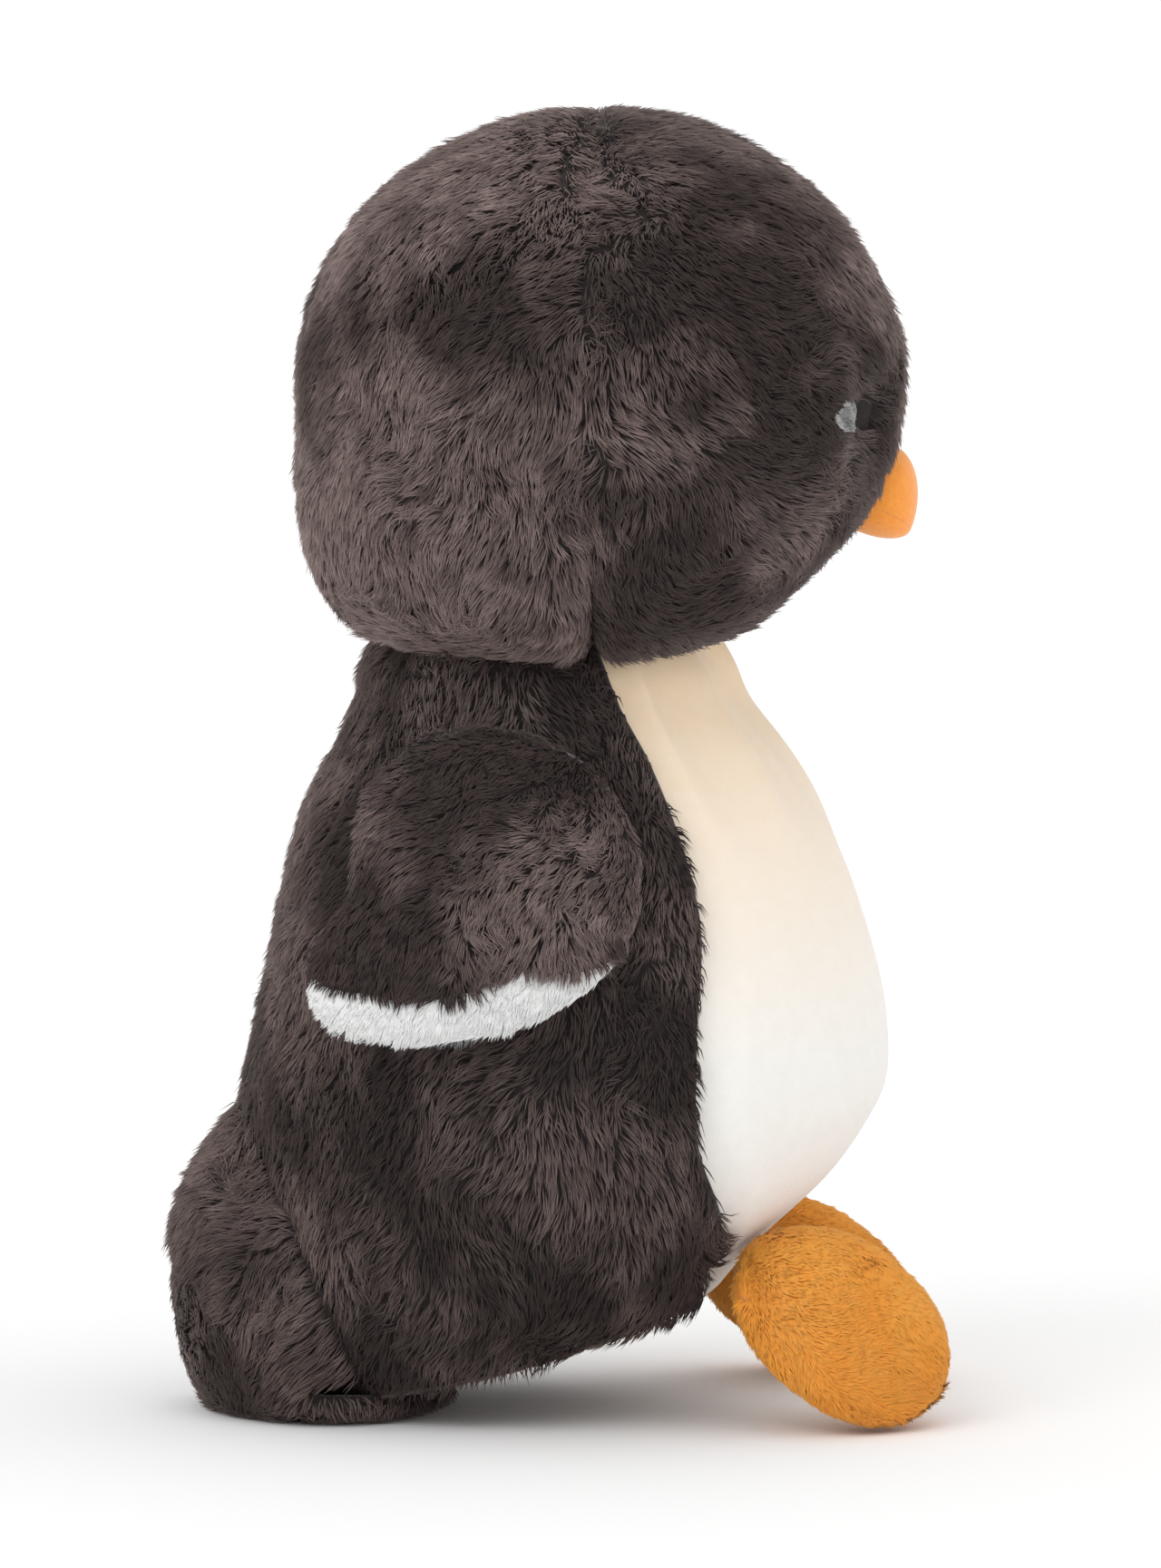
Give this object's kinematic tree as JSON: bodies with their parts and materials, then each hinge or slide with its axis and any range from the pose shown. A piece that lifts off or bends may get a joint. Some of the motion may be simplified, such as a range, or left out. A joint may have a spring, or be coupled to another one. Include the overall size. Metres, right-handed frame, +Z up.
{
  "type": "plush penguin toy",
  "caption": "Standing stuffed penguin of dark pile fabric with a pale belly, flapping wings, sprung feet, and a head that turns and nods on its stuffed neck.",
  "frame": {"origin": "on the ground, under the middle of the bounding box", "axes": "+Z up, the penguin faces -Y, its right side is at -X"},
  "size_m": [0.1612, 0.1775, 0.3],
  "materials": {
    "dark_plush": "matte",
    "cream_velour": "matte",
    "white_plush": "matte",
    "white_felt": "matte",
    "orange_plush": "matte",
    "orange_felt": "matte",
    "black_gloss": "gloss",
    "clear_plastic": "satin",
    "fibre": "matte",
    "calico": "matte",
    "pellets": "satin",
    "thread": "matte"
  },
  "bodies": {
    "body": {"belly_panel": "cream_velour", "back_panel_right": "dark_plush", "back_panel_left": "dark_plush", "seat_panel": "dark_plush", "body_stuffing": "fibre", "pellet_bag": "calico", "pellets": "pellets", "tail_upper_panel": "dark_plush", "tail_under_panel": "dark_plush", "tail_stuffing": "fibre"},
    "neck": {"neck_plug": "fibre", "neck_thread": "thread"},
    "head": {"head_face_right": "dark_plush", "head_face_left": "dark_plush", "head_back_right": "dark_plush", "head_back_left": "dark_plush", "head_stuffing": "fibre", "eye_patch_right": "white_felt", "eye_patch_left": "white_felt", "eye_bead_right": "black_gloss", "eye_bead_left": "black_gloss", "eye_washer_right": "clear_plastic", "eye_washer_left": "clear_plastic", "beak_upper_panel": "orange_felt", "beak_lower_panel": "orange_felt", "beak_stuffing": "fibre"},
    "wing_right": {"wing_outer_right": "dark_plush", "wing_inner_right": "white_plush", "wing_stuffing_right": "fibre"},
    "wing_left": {"wing_outer_left": "dark_plush", "wing_inner_left": "white_plush", "wing_stuffing_left": "fibre"},
    "foot_right": {"foot_top_right": "orange_plush", "foot_sole_right": "orange_plush", "foot_stuffing_right": "fibre"},
    "foot_left": {"foot_top_left": "orange_plush", "foot_sole_left": "orange_plush", "foot_stuffing_left": "fibre"}
  },
  "joints": [
    {"name": "head_turn", "type": "hinge", "parent": "body", "child": "neck", "pos_m": [0, -0.0022, 0.168], "axis": [0, 0, 1], "range_deg": [-25, 25], "stiffness_Nm_per_rad": 0.6},
    {"name": "head_nod", "type": "hinge", "parent": "neck", "child": "head", "pos_m": [0, -0.0022, 0.168], "axis": [1, 0, 0], "range_deg": [-6, 6], "stiffness_Nm_per_rad": 1.2},
    {"name": "wing_right_lift", "type": "hinge", "parent": "body", "child": "wing_right", "pos_m": [-0.05, 0.01, 0.161], "axis": [0, 1, 0], "range_deg": [0, 80]},
    {"name": "wing_left_lift", "type": "hinge", "parent": "body", "child": "wing_left", "pos_m": [0.05, 0.01, 0.161], "axis": [0, -1, 0], "range_deg": [0, 80]},
    {"name": "foot_right_flex", "type": "hinge", "parent": "body", "child": "foot_right", "pos_m": [-0.043, -0.043, 0.046], "axis": [-1, 0, 0], "range_deg": [0, 12], "stiffness_Nm_per_rad": 2.5},
    {"name": "foot_left_flex", "type": "hinge", "parent": "body", "child": "foot_left", "pos_m": [0.043, -0.043, 0.046], "axis": [-1, 0, 0], "range_deg": [0, 12], "stiffness_Nm_per_rad": 2.5}
  ]
}
